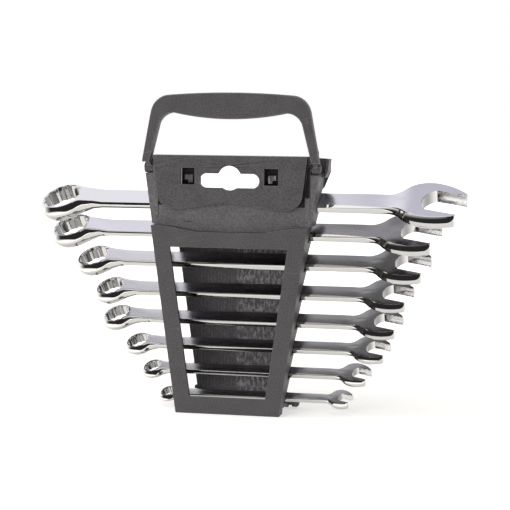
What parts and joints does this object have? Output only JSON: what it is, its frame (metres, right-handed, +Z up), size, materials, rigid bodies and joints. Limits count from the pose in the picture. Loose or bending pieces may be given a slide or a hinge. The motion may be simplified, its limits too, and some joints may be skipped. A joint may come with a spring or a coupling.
{
  "type": "combination wrench set with holder",
  "caption": "Tapered moulded holder with a window frame, hanging plate, folding handle and hinged rear cover, carrying a graded row of combination wrenches.",
  "frame": {"origin": "middle of the window frame's lower front edge, on the table", "axes": "+X to the right along the wrenches, +Y to the back, +Z up"},
  "size_m": [0.2403, 0.0403, 0.174],
  "materials": {
    "rack_plastic": "fine spark-eroded grain",
    "cover_plastic": "fine spark-eroded grain",
    "handle_plastic": "fine spark-eroded grain",
    "chrome_steel": "satin flats with mirror edges"
  },
  "bodies": {
    "holder": {"rack": "rack_plastic", "wrench_19": "chrome_steel", "wrench_17": "chrome_steel", "wrench_15": "chrome_steel", "wrench_13": "chrome_steel", "wrench_12": "chrome_steel", "wrench_10": "chrome_steel", "wrench_8": "chrome_steel", "wrench_6": "chrome_steel"},
    "rear_door": {"rear_cover": "cover_plastic"},
    "carry_handle": {"handle": "handle_plastic"}
  },
  "joints": [
    {"name": "rear_cover_hinge", "type": "hinge", "parent": "holder", "child": "rear_door", "pos_m": [0, 0.0312, 0.0032], "axis": [-1, 0, 0], "range_deg": [0, 90]},
    {"name": "handle_hinge", "type": "hinge", "parent": "holder", "child": "carry_handle", "pos_m": [0, 0.0095, 0.1333], "axis": [-1, 0, 0], "range_deg": [0, 76]}
  ]
}
